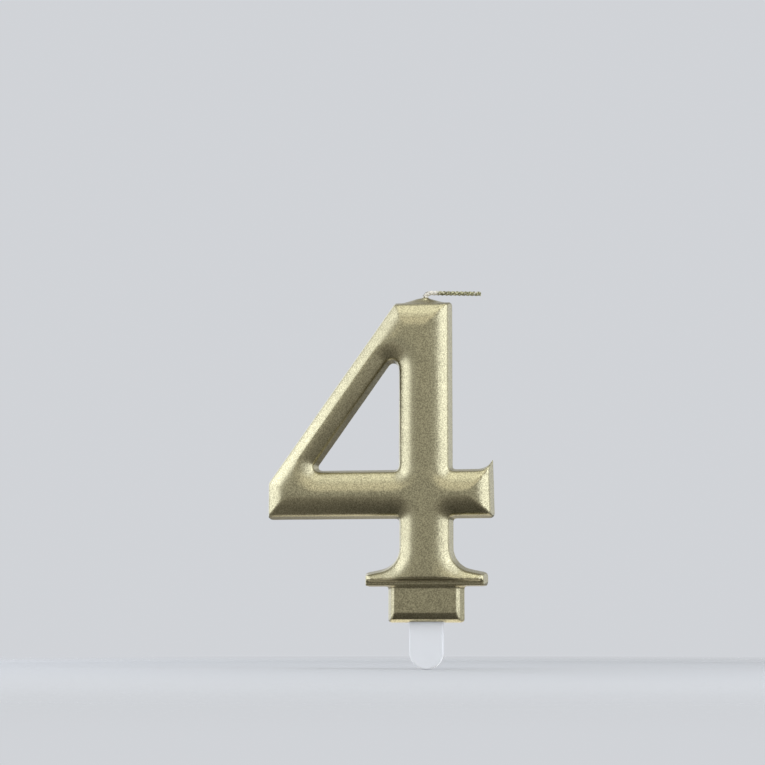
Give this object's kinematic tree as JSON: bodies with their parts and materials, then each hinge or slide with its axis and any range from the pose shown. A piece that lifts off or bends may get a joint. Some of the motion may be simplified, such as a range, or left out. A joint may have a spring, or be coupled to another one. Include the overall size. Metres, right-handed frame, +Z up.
{
  "type": "number candle",
  "caption": "Moulded number candle: a domed metallic numeral with a serif foot and base block, a bent cotton wick, and a plastic pick that stands it in a cake.",
  "frame": {"origin": "centre of the base block's underside, at mid thickness and under the stem, where the top of the cake comes", "axes": "+Z up the stem, +X to the right seen from the front, and the front faces -Y"},
  "size_m": [0.0571, 0.0118, 0.0941],
  "materials": {
    "gold_wax": "satin metallic champagne-gold spray with a fine flake, over moulded wax",
    "waxed_cotton": "braided cotton dipped in wax",
    "gilded_cotton": "braided cotton dusted with the candle's gold spray",
    "white_plastic": "moulded white plastic, satin"
  },
  "bodies": {
    "pick": {"cake_pick": "white_plastic"},
    "candle": {"candle_body": "gold_wax", "wick": "waxed_cotton"},
    "wick_end": {"wick_end": "gilded_cotton"}
  },
  "joints": [
    {"name": "pick_slide", "type": "slide", "parent": "pick", "child": "candle", "axis": [0, 0, 1], "range_m": [0, 0.009]},
    {"name": "wick_bend", "type": "hinge", "parent": "candle", "child": "wick_end", "pos_m": [-0.00012, 0, 0.082], "axis": [0, -1, 0], "range_deg": [-8, 93]}
  ]
}
